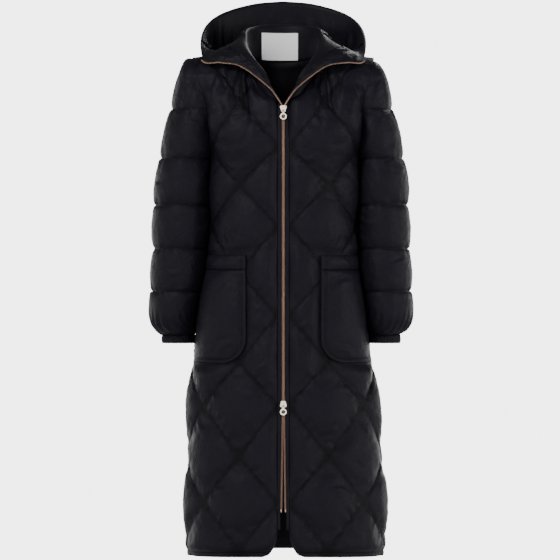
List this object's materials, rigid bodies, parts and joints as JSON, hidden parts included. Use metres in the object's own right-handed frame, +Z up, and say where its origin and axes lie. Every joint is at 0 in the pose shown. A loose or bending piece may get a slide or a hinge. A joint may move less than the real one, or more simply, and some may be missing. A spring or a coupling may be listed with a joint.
{
  "type": "long puffer coat",
  "caption": "Long hooded black puffer coat with diamond quilting, patch pockets, a two-way copper zip, channelled sleeves and a hood lying behind the neck.",
  "frame": {"origin": "mid neck, level with the neck's side points, where the coat hangs on the shoulders", "axes": "+Z up, the front faces -Y, +X is the viewer's right"},
  "size_m": [0.6214, 0.3642, 1.2866],
  "materials": {
    "shell": "fine nylon weave with a soft sheen",
    "inside": "smooth, lightly crinkled lining",
    "label": "woven, bare",
    "teeth": "rose copper plate",
    "trim": "pale champagne plate",
    "cord": "matt braided cord"
  },
  "bodies": {
    "root": {"front_left": "shell", "front_right": "shell", "back": "shell", "sleeve_left": "shell", "sleeve_right": "shell", "cuff_left": "shell", "cuff_right": "shell", "hood_centre": "shell", "hood_left": "shell", "hood_right": "shell", "pocket_left": "shell", "pocket_right": "shell", "pocket_band_left": "shell", "pocket_band_right": "shell", "placket_left": "shell", "placket_right": "shell", "lining_back": "inside", "neck_facing": "inside", "hood_lining": "inside", "collar_lining_left": "inside", "collar_lining_right": "inside", "facing_left": "inside", "facing_right": "inside", "label": "label", "zip_teeth_left": "teeth", "zip_teeth_right": "teeth", "zip_stop_left": "teeth", "zip_stop_right": "teeth", "slider_upper": "trim", "slider_lower": "trim", "eyelet_left": "trim", "eyelet_right": "trim", "drawcord_left": "cord", "drawcord_right": "cord"},
    "pull_upper": {"pull_upper": "trim"},
    "pull_lower": {"pull_lower": "trim"}
  },
  "joints": [
    {"name": "upper_pull_hinge", "type": "hinge", "parent": "root", "child": "pull_upper", "pos_m": [0, -0.12917, -0.134], "axis": [-1, 0, 0], "range_deg": [0, 120]},
    {"name": "lower_pull_hinge", "type": "hinge", "parent": "root", "child": "pull_lower", "pos_m": [0, -0.15157, -0.814], "axis": [-1, 0, 0], "range_deg": [0, 120]}
  ]
}
